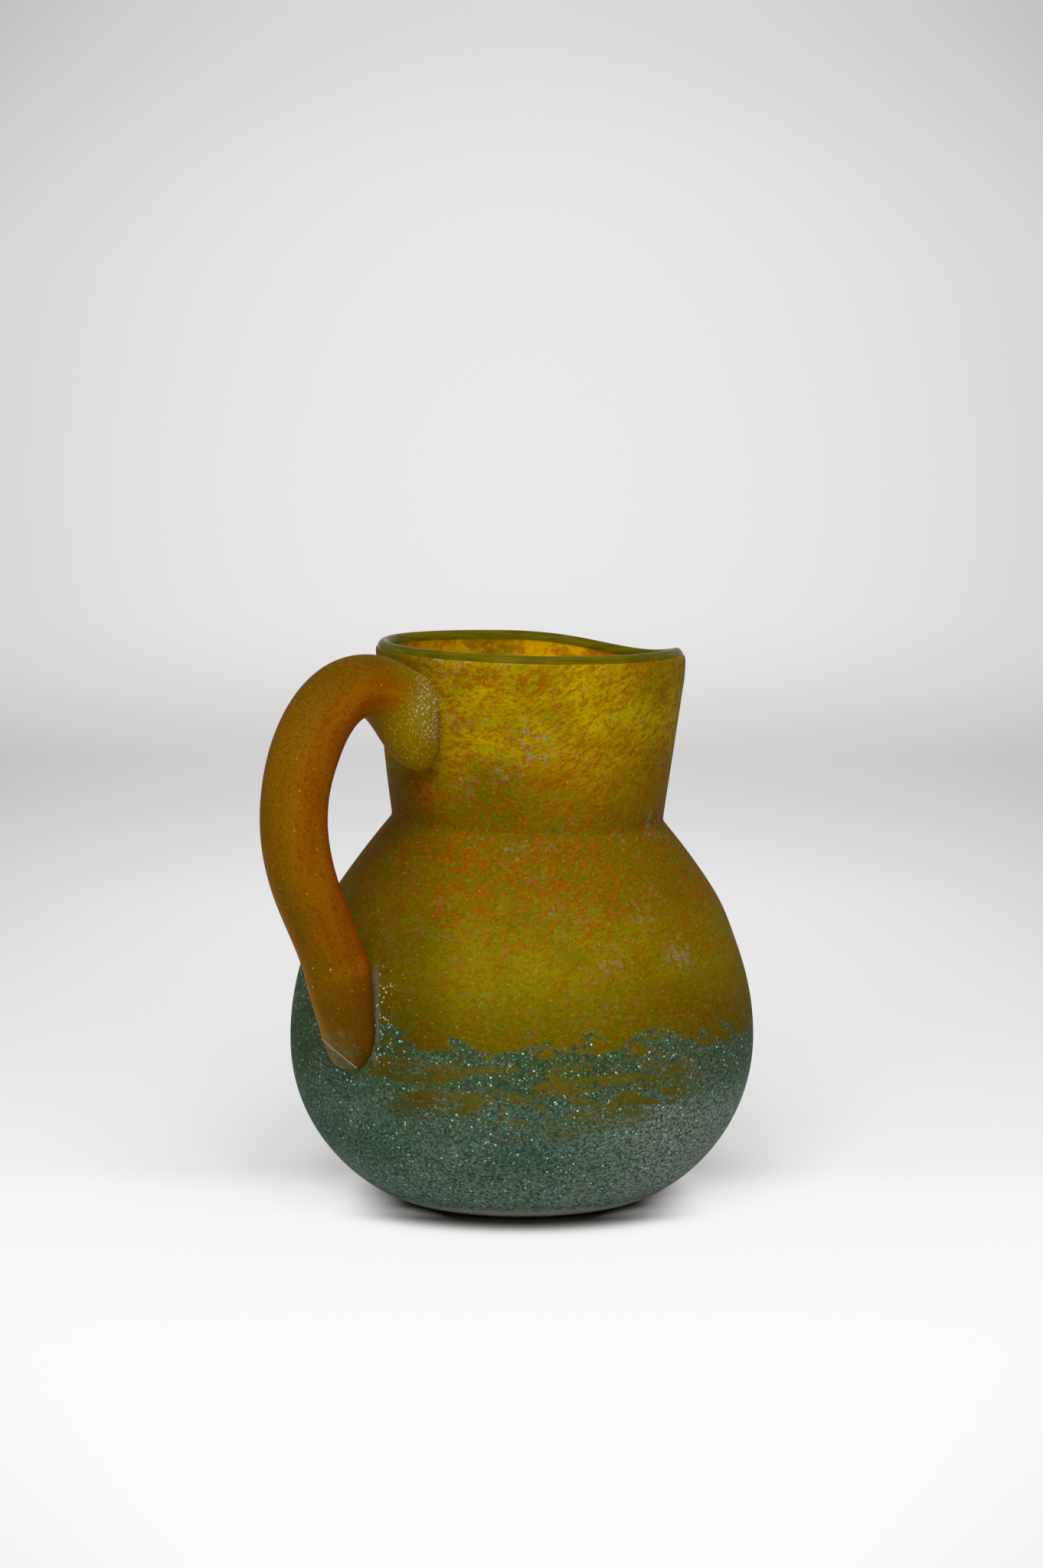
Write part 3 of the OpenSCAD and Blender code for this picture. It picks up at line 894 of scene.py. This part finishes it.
# Green skin: colour by height, clouds of haze, the paler right side, and grains
GREEN_TURNS_H = (52, 32)
GREEN_FOOT_WEAR_AND_BOUNCE_H = (24, 6)
HAZE = dict(size=30, full=(0.44, 0.66), stretch=(1, 1, 0.8), detail=4, rough=0.6, seed=21)
HAZE_RIGHT = (16, 52)
HAZE_H = (44, 26)
HAZE_LEAST = 0.3
GREEN_GRAIN = dict(size=0.9, full=(0.56, 0.44), stretch=(1.2, 1.2, 0.9), detail=4, rough=0.8, seed=23)
GREEN_LAYERS = (
    (PALE_GREEN, 0.4, dict(right=(2, 48), height=(44, 30))),
    (GREEN_DARK, 0.9, GREEN_GRAIN),
    (ROSE_GREY, 0.55, dict(size=1.0, full=(0.53, 0.64), detail=3, rough=0.75, seed=25)),
)
SMALL_DOTS = dict(gap=1.0, radius=0.34, share=0.42, seed=27)
BRIGHT_DOTS = dict(gap=1.8, radius=0.42, share=0.46, seed=29)


def green_colour(paint):
    """Dark green grains with turquoise and white sparkles, greyer in clouds and paler to the right."""
    colour = paint.mix(paint.where(height=GREEN_TURNS_H), GREEN_HIGH, GREEN_LOW)
    # Paler towards the foot: wear, and painted light bounced off the floor
    colour = paint.mix(paint.where(height=GREEN_FOOT_WEAR_AND_BOUNCE_H), colour, GREEN_FOOT_WEAR_AND_BOUNCE)
    haze = paint.most(paint.cover(**HAZE), paint.where(right=HAZE_RIGHT))
    deep = paint.add(HAZE_LEAST, paint.part(paint.where(height=HAZE_H), 1 - HAZE_LEAST))
    colour = paint.lay(colour, GREY_GREEN, paint.part(haze, deep), share=0.6)
    colour = paint.layers(colour, GREEN_LAYERS)
    small, luck = paint.dots(**SMALL_DOTS)
    colour = paint.lay(colour, paint.mix(luck, TURQUOISE, GREY_GREEN), small, share=0.65)
    bright, luck = paint.dots(**BRIGHT_DOTS)
    return paint.lay(colour, paint.mix(luck, PALE, TURQUOISE), bright, share=0.95)


# Border of the green: it climbs on the left and sinks on the right, and is ragged by bays and grains
CLIMB = 21.0
CLIMB_LEFT = (24, 68)
SINK = 2.0
SINK_RIGHT = (-44, -66)
BAYS = dict(size=9, stretch=(1.3, 1.3, 0.5), detail=5, rough=0.62, bend=0.4, seed=35)
BAY_DEEP = 34.0
BORDER_GRAIN = dict(size=1.3, stretch=(1.2, 1.2, 0.8), detail=4, rough=0.8, seed=33)
BORDER_GRAIN_DEEP = 14.0
BORDER_SOFT = (-1.6, 1.6)

# Amber islands in the green: their depths below the border, their sides, and where they are thicker
ISLANDS = dict(size=12, stretch=(1.4, 1.4, 0.42), detail=6, rough=0.68, bend=0.7, seed=31)
ISLAND_GRAIN = 0.55
ISLAND_MORE = 0.05
ISLAND_MORE_BELOW = (20, 10)
ISLAND_FULL = (0.52, 0.56)
ISLAND_SHARE = 0.95
ISLANDS_FROM_BELOW = (2, 7)
ISLANDS_TO_BELOW = (31, 18)
ISLANDS_LEFT = (-58, -44, 42, 52)


def green_share(paint):
    """Where the green skin shows: below a ragged line that climbs on the left, with level amber islands."""
    climb = paint.part(paint.where(left=CLIMB_LEFT), CLIMB)
    climb = paint.less(climb, paint.part(paint.where(left=SINK_RIGHT), SINK))
    below = paint.less(paint.add(climb, WATERLINE_H), paint.height)
    grain = paint.less(paint.noise(**BORDER_GRAIN), 0.5)
    bays = paint.less(paint.noise(**BAYS), 0.5)
    ragged = paint.add(paint.part(bays, BAY_DEEP), paint.part(grain, BORDER_GRAIN_DEEP))
    border = paint.step(paint.add(below, ragged), *BORDER_SOFT)
    islands = paint.add(paint.noise(**ISLANDS), paint.part(grain, ISLAND_GRAIN))
    islands = paint.add(islands, paint.part(paint.step(below, *ISLAND_MORE_BELOW), ISLAND_MORE))
    band = paint.part(paint.step(below, *ISLANDS_FROM_BELOW), paint.step(below, *ISLANDS_TO_BELOW))
    band = paint.part(band, paint.where(left=ISLANDS_LEFT))
    island = paint.part(paint.step(islands, *ISLAND_FULL), band)
    return paint.part(border, paint.less(1.0, paint.part(island, ISLAND_SHARE)))


# Rim and foot of the body: frost under the bead, the bare left end of the rim, and the pale ring at the foot,
# partly wear and partly painted light bounced off the floor
RIM_OLIVE = srgb(102, 89, 0)
RIM_DARK = srgb(84, 77, 0)
RIM_BREAKS = dict(size=3.2, full=(0.52, 0.66), detail=3, rough=0.7, seed=41)
RIM_AND_FOOT = (
    (FROST, 0.4, dict(rim_drop=(3.0, 2.2)), RIM_BREAKS),
    (RIM_OLIVE, 1.0, dict(right=(-30, -40), rim_drop=(5.0, 4.4))),
    # Pale ring at the foot: wear, and painted light bounced off the floor
    (WEAR_AND_BOUNCE_RING, 0.75, dict(height=(4.6, 1.8))),
)
BODY_FINE = dict(size=0.8, detail=3, rough=0.7, seed=43)
BODY_SOFT = dict(size=4.0, seed=45)


def body_glass():
    """Satin mottled glass of the whole outer body."""
    paint = Paint("mottled_satin_glass", Specular_IOR_Level=0.015)
    colour = paint.mix(green_share(paint), amber_colour(paint), green_colour(paint))
    colour = paint.layers(colour, TAIL_CRUST + RIM_AND_FOOT)
    fine = paint.noise(**BODY_FINE)
    relief = paint.add(paint.part(fine, 0.5), paint.noise(**BODY_SOFT))
    rough = paint.add(0.5, paint.part(fine, 0.2))
    return paint.finish(colour, rough, relief, bump_mm=0.22)


# Inside of the gather, darker to the left, and its bare rim
INSIDE_GOLD = srgb(214, 160, 0)
INSIDE_BROWN = srgb(170, 98, 0)
INSIDE_OLIVE = srgb(118, 98, 0)
INSIDE_DARK = srgb(116, 74, 0)
BLOTS = dict(size=9, full=(0.42, 0.62), detail=4, rough=0.6, bend=0.5, seed=51)
OLIVE_BLOTS = dict(size=11, full=(0.52, 0.66), stretch=(1, 1, 0.8), detail=4, rough=0.6, bend=0.5, seed=53)
MOTTLE = dict(size=2.6, full=(0.5, 0.64), stretch=(1, 1, 0.8), detail=4, rough=0.7, bend=0.3, seed=54)
INSIDE_LAYERS = (
    (INSIDE_OLIVE, 0.8, OLIVE_BLOTS),
    (INSIDE_DARK, 0.5, MOTTLE),
    (INSIDE_DARK, 0.45, dict(right=(0, -36))),
)
BARE_RIM_DROP = (3.4, 2.6)
RIM_STREAKS = dict(size=9, full=(0.4, 0.62), stretch=(1, 1, 0.15), seed=55)


def gather_glass():
    """Smooth glass: blotched gold and brown inside, olive at the bare rim."""
    paint = Paint("smooth_gather_glass", Specular_IOR_Level=0.022)
    colour = paint.mix(paint.cover(**BLOTS), INSIDE_GOLD, INSIDE_BROWN)
    colour = paint.layers(colour, INSIDE_LAYERS)
    rim = paint.mix(paint.cover(**RIM_STREAKS), RIM_OLIVE, RIM_DARK)
    colour = paint.mix(paint.where(rim_drop=BARE_RIM_DROP), colour, rim)
    rough = paint.add(0.14, paint.part(paint.noise(size=6, seed=57), 0.08))
    return paint.finish(colour, rough, paint.noise(size=8, seed=59), bump_mm=0.2)


# Handle: colours of the rod and of its crusts
ROD_AMBER = srgb(128, 70, 0)
ROD_RED = srgb(148, 60, 0)
ROD_OLIVE = srgb(112, 84, 0)
ROD_GOLD = srgb(140, 86, 0)
ROD_DARK = srgb(86, 48, 0)
ROD_TOP = srgb(94, 66, 0)
ROD_GLOW = srgb(146, 100, 0)
ROD_FLANK_LIGHT = srgb(164, 108, 0)
ROD_SHADE = srgb(62, 46, 0)
ROD_GREY = srgb(122, 124, 92)
ROD_DULL = srgb(88, 92, 56)
PAD_OLIVE = srgb(130, 108, 0)
CRUST = srgb(226, 218, 190)
CRUST_GOLD = srgb(180, 156, 20)
CRUST_HAZE = srgb(136, 118, 66)

# Rod: long streaks, then its inner side, the arch, its outer side, the crown and clouds. Its surface faces
# outward and sideways by -1 to 1.
STREAK_ROUND = 8.0
STREAK_ALONG = 0.16
ROD_STREAKS = dict(size=4, full=(0.38, 0.68), detail=4, rough=0.6, bend=0.3, seed=61)
ROD_LAYERS = (
    (ROD_RED, 0.85, dict(outward=(0.1, -0.9))),
    (ROD_GLOW, 0.85, dict(along=(44, 30), outward=(-0.2, -0.8))),
    (ROD_OLIVE, 0.7, dict(outward=(0.45, 1.0))),
    (ROD_TOP, 0.8, dict(along=(66, 42), outward=(0.1, 0.8))),
    (ROD_OLIVE, 0.45, dict(size=14, full=(0.5, 0.7), detail=4, rough=0.6, seed=63)),
)
ROD_GRAIN = dict(size=0.9, detail=4, rough=0.78, seed=65)
GRAIN_GOLD = (0.52, 0.62)
GRAIN_DARK = (0.48, 0.38)
ROD_FLECKS = dict(gap=2.2, radius=0.28, share=0.4, stretch=(1, 1, 1.8), seed=67)
ROD_SOFT = dict(size=5, seed=69)


def rod_colour(paint, grain):
    """Streaked amber: redder inside the loop, olive outside, dark at the crown, with grain and flecks."""
    lengthwise = paint.node("CombineXYZ", {
        0: paint.part(paint.value("outward"), STREAK_ROUND),
        1: paint.part(paint.value("sideways"), STREAK_ROUND),
        2: paint.part(paint.value("along"), STREAK_ALONG),
    }).outputs["Vector"]
    colour = paint.mix(paint.cover(**ROD_STREAKS, at=lengthwise), ROD_AMBER, ROD_GOLD)
    colour = paint.layers(colour, ROD_LAYERS)
    colour = paint.lay(colour, ROD_GOLD, paint.step(grain, *GRAIN_GOLD), share=0.55)
    colour = paint.lay(colour, ROD_DARK, paint.step(grain, *GRAIN_DARK), share=0.6)
    return paint.lay(colour, CRUST_GOLD, paint.mask(ROD_FLECKS), share=0.7)


# Fall of the rod: painted shade on the right side of the tail and painted light on its left flank
TAIL_DARK_SIDE = (-0.2, -1.0)
TAIL_TURNED = dict(outward=(0.3, -0.1), sideways=(0.2, -0.2))
TAIL_DARK_H = (92, 62)
FLANK = dict(sideways=(-0.2, 0.5), height=(126, 96), outward=(0.0, 0.4))


def fall_shades(paint, colour):
    """Painted shade darkens the tail on its right, and painted light lightens the fall on its left."""
    dark = paint.most(paint.where(sideways=TAIL_DARK_SIDE), paint.where(**TAIL_TURNED))
    dark = paint.part(dark, paint.where(height=TAIL_DARK_H))
    colour = paint.lay(colour, ROD_SHADE, dark, share=0.66)
    return paint.lay(colour, ROD_FLANK_LIGHT, paint.where(**FLANK), share=0.75)


# Pad: olive with gold grains, and a pale crust along its edge
PAD = dict(along=(31, 14), sideways=(0.5, -0.4))
GOLD_GRAINS = dict(gap=0.9, radius=0.4, share=0.75, seed=71)
GOLD_BREAKS = dict(size=5, full=(0.34, 0.54), detail=3, rough=0.66, seed=76)
PAD_LAYERS = (
    (PAD_OLIVE, 0.8, PAD),
    (CRUST_GOLD, 0.75, PAD, GOLD_GRAINS, GOLD_BREAKS),
)
CRUST_EDGE = dict(along=(22, 12), sideways=(0.5, -0.25), outward=(-0.6, -0.1))
CRUST_BREAKS = dict(size=4, full=(0.32, 0.52), detail=3, rough=0.66, seed=72)
CRUST_GRAINS = dict(gap=0.9, radius=0.44, share=0.8, seed=73)


def pad_crust(paint, colour):
    """The colour with the pad's grains and crust, and a mask of the raised grains."""
    colour = paint.layers(colour, PAD_LAYERS)
    edge = paint.part(paint.where(**CRUST_EDGE), paint.cover(**CRUST_BREAKS))
    colour = paint.lay(colour, CRUST_HAZE, edge, share=0.25)
    grains, luck = paint.dots(**CRUST_GRAINS)
    raised = paint.part(edge, grains)
    tone = paint.mix(paint.part(luck, 0.7), CRUST, CRUST_GOLD)
    return paint.lay(colour, tone, raised, share=0.95), raised


# Tip of the tail: lit edges, scratches and a painted grey sheen (middle and reach), and the shear cut with
# its ridge, which carries a painted highlight
LIT_RIGHT = dict(outward=(-0.3, -0.5), sideways=(0.0, -0.4))
LIT_LEFT = dict(sideways=(0.6, 0.75), outward=(0.0, 0.3))
LIT_H = (74, 66)
SCRATCHES = dict(gap=1.4, radius=0.28, share=0.5, stretch=(1, 1, 2.2), seed=77)
SCRATCHED = ((-84, -1, 76), 12)
TIP_SHEEN = ((-77, -3, 56), 8)
TIP_SHEEN_BREAKS = dict(size=3, full=(0.36, 0.6), seed=74)
CUT_H = (60, 57)
CUT = dict(past_shear=(-0.05, 0.1), height=CUT_H)
CUT_FADE = (2.7, 3.5)
CUT_FADE_SHARE = 0.5
CUT_TONES = dict(size=2.2, full=(0.44, 0.64), seed=75)
RIDGE_GLINT = dict(past_shear=(-0.16, -0.05, 0.05, 0.16), height=CUT_H, sideways=(-1.0, -0.8))


def tip_marks(paint, colour):
    """Thin painted lit edges, pale scratches, a painted grey sheen, and the grey facet of the shear cut with
    a painted highlight along its ridge.
    """
    lit = paint.most(paint.where(**LIT_RIGHT), paint.where(**LIT_LEFT))
    colour = paint.lay(colour, ROD_GLOW, paint.part(lit, paint.where(height=LIT_H)), share=0.5)
    scratches = paint.part(paint.mask(SCRATCHES), paint.near(*SCRATCHED))
    colour = paint.lay(colour, CRUST, scratches, share=0.7)
    fade = paint.part(paint.where(past_shear=CUT_FADE), CUT_FADE_SHARE)
    cut = paint.part(paint.where(**CUT), paint.less(1.0, fade))
    # A grey sheen painted near the tip
    sheen = paint.part(paint.near(*TIP_SHEEN), paint.cover(**TIP_SHEEN_BREAKS))
    grey = paint.mix(paint.cover(**CUT_TONES), ROD_DULL, ROD_GREY)
    colour = paint.mix(paint.most(paint.part(cut, 0.85), paint.part(sheen, 0.55)), colour, grey)
    # A painted highlight along the ridge of the cut
    return paint.lay(colour, CRUST, paint.where(**RIDGE_GLINT), share=0.8)


def handle_glass():
    """Satin amber, crusted at the pad and grey at the shear cut."""
    paint = Paint("satin_amber_rod", Specular_IOR_Level=0.02)
    grain = paint.noise(**ROD_GRAIN)
    colour = fall_shades(paint, rod_colour(paint, grain))
    colour, raised = pad_crust(paint, colour)
    colour = tip_marks(paint, colour)
    relief = paint.add(paint.part(grain, 0.5), paint.noise(**ROD_SOFT))
    relief = paint.add(relief, paint.part(raised, 1.5))
    rough = paint.add(0.4, paint.part(grain, 0.2))
    return paint.finish(colour, rough, relief, bump_mm=0.2)


# Pieces

def dress():
    """Makes the four visible pieces and lets each stand for its solid."""
    body = body_glass()
    for piece, material, node, slot in (
        (inner_wall(), gather_glass(), "inner_gather", "gather_glass"),
        (amber_case(), body, "amber_casing", "amber_glass"),
        (green_skin(), body, "green_overlay", "green_glass"),
        (handle_rod(), handle_glass(), "handle", "handle_glass"),
    ):
        piece.data.materials.append(material)
        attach(piece, "root")
        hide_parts(node)


# Stage: the floor with its painted contact shadow and glow
FLOOR_R = 3000.0
FLOOR_TURNS = 96
FLOOR_TONE = srgb(252, 252, 252)
FLOOR_BOUNCE = srgb(215, 215, 215)
FLOOR_PAINTED_SHADOW = srgb(58, 57, 52)
CONTACT_AWAY = (46, 37)
CONTACT_FRONT = (26, 42)
CONTACT_FRONT_AWAY = (66, 44)
GLOW_FRONT = 0.68
GLOW_BEHIND = 0.38
GLOW_TURNS = (-40, 10)
GLOW_AWAY = (36, 58)
GLOW_HELD = 16.0
GLOW_HELD_FRONT = (10, 44)
FLOOR_CLEARS = (160, 620)


def floor():
    """A pale floor that keeps the shadow near the pitcher and lets the backdrop through farther off."""
    turns = np.arange(FLOOR_TURNS) * 2 * math.pi / FLOOR_TURNS
    ring = FLOOR_R * MM * np.stack([np.cos(turns), np.sin(turns), np.zeros(FLOOR_TURNS)], 1)
    mesh = bpy.data.meshes.new("floor")
    mesh.from_pydata(ring.tolist(), [], [tuple(range(FLOOR_TURNS))])
    mesh.materials.append(floor_paint())
    piece = bpy.data.objects.new("floor", mesh)
    bpy.context.scene.collection.objects.link(piece)


def floor_paint():
    """Pale, with a painted shadow where the base meets the floor, glowing a little way off, clear farther
    off.
    """
    paint = Paint("pale_floor", Roughness=0.9, Specular_IOR_Level=0.0)
    away = paint.node("VectorMath", {0: paint.spot}, operation="LENGTH").outputs["Value"]
    front = paint.value("front")
    seen = paint.seen()
    # Painted contact shadow: dark close round the base, and farther out in front of it
    contact = paint.part(paint.step(away, *CONTACT_FRONT_AWAY), paint.step(front, *CONTACT_FRONT))
    contact = paint.calc("MINIMUM", paint.add(contact, paint.step(away, *CONTACT_AWAY)), 1.0)
    tone = paint.mix(seen, FLOOR_BOUNCE, FLOOR_TONE)
    tone = paint.mix(paint.part(contact, seen), tone, FLOOR_PAINTED_SHADOW)
    paint.feed(paint.shader.inputs["Base Color"], tone)
    held = paint.less(away, paint.part(paint.step(front, *GLOW_HELD_FRONT), GLOW_HELD))
    level = paint.part(paint.step(front, *GLOW_TURNS), GLOW_FRONT - GLOW_BEHIND)
    level = paint.part(paint.step(held, *GLOW_AWAY), paint.add(GLOW_BEHIND, level))
    glow = paint.node("Emission", {"Color": FLOOR_TONE, "Strength": 1.0}).outputs[0]
    near = paint.node("MixShader", {0: paint.part(level, seen), 1: paint.shader.outputs[0], 2: glow})
    clear = paint.node("BsdfTransparent").outputs[0]
    far = paint.part(paint.step(away, *FLOOR_CLEARS), seen)
    both = paint.node("MixShader", {0: far, 1: near.outputs[0], 2: clear})
    paint.feed(paint.tree.nodes["Material Output"].inputs["Surface"], both.outputs[0])
    return paint.material


# Backdrop grey by the upward part of the view direction, darker to both sides and more so at the top
BACKDROP_TONES = (
    (-0.22, 252),
    (-0.20, 243),
    (-0.17, 239),
    (-0.154, 231),
    (-0.143, 221),
    (-0.131, 211),
    (-0.124, 214),
    (-0.115, 224),
    (-0.100, 232),
    (-0.04, 232),
    (-0.006, 228),
    (0.023, 219),
)
SIDE_REACH = 0.1
SIDE_MOST = 1.4
SIDE_FADE = 0.13
TOP_FADE = 0.09
TOP_FADE_RISE = (-0.03, 0.025)
AMBIENT = 0.24


def backdrop():
    """World: even soft light on the object, and a pale backdrop where the camera sees it."""
    world = bpy.data.worlds.new("studio")
    world.use_nodes = True
    bpy.context.scene.world = world
    sky = Nodes(world.node_tree)
    way = sky.node("TexCoord").outputs["Generated"]
    rise = sky.node("SeparateXYZ", {0: way}).outputs["Z"]
    low, high = BACKDROP_TONES[0][0], BACKDROP_TONES[-1][0]
    level = sky.node("MapRange", {"Value": rise, "From Min": low, "From Max": high}).outputs["Result"]
    stops = [((at - low) / (high - low), srgb(grey, grey, grey)) for at, grey in BACKDROP_TONES]
    tones = sky.ramp(level, stops, easing="CARDINAL")
    aside = sky.node("VectorMath", {0: way, 1: RIGHT_WAY}, operation="DOT_PRODUCT").outputs["Value"]
    aside = sky.calc("DIVIDE", aside, SIDE_REACH)
    aside = sky.calc("MINIMUM", sky.part(aside, aside), SIDE_MOST)
    top_low, top_high = TOP_FADE_RISE
    top = sky.node("MapRange", {"Value": rise, "From Min": top_low, "From Max": top_high, "To Max": TOP_FADE})
    fade = sky.part(aside, sky.add(SIDE_FADE, top.outputs["Result"]))
    shown = sky.node("Background", {"Color": tones, "Strength": sky.less(1.0, fade)})
    plain = sky.tree.nodes["Background"]
    plain.inputs["Color"].default_value = (1, 1, 1, 1)
    plain.inputs["Strength"].default_value = AMBIENT
    both = sky.node("MixShader", {0: sky.seen(), 1: plain.outputs[0], 2: shown.outputs[0]})
    sky.feed(sky.tree.nodes["World Output"].inputs["Surface"], both.outputs[0])


# Lamp: how bright it makes a white surface that faces it, its distance, size and height
KEY_LEVEL = 0.95
KEY_AWAY = 1700.0
KEY_SIZE = 1200.0
KEY_ELEVATION = math.radians(50)


def key_light():
    """One large soft lamp, high on the camera's side."""
    away = KEY_AWAY * MM
    lamp = bpy.data.lights.new("key", "AREA")
    lamp.size = KEY_SIZE * MM
    lamp.energy = KEY_LEVEL * math.pi ** 2 * away ** 2
    piece = bpy.data.objects.new("key", lamp)
    level = away * math.cos(KEY_ELEVATION)
    piece.location = (-VIEW_WAY[0] * level, -VIEW_WAY[1] * level, away * math.sin(KEY_ELEVATION))
    piece.rotation_euler = (math.pi / 2 - KEY_ELEVATION, 0, CAMERA_TURN)
    bpy.context.scene.collection.objects.link(piece)


def camera():
    """The photograph's camera."""
    data = bpy.data.cameras.new("camera")
    data.lens = CAMERA_LENS
    data.sensor_width = SENSOR_WIDE
    piece = bpy.data.objects.new("camera", data)
    back = CAMERA_BACK * MM
    piece.location = (-VIEW_WAY[0] * back, -VIEW_WAY[1] * back, CAMERA_UP * MM)
    piece.rotation_euler = (math.pi / 2 - CAMERA_PITCH, 0, CAMERA_TURN)
    bpy.context.scene.collection.objects.link(piece)
    bpy.context.scene.camera = piece


dress()
floor()
backdrop()
key_light()
camera()
bpy.context.scene.view_settings.view_transform = "Standard"
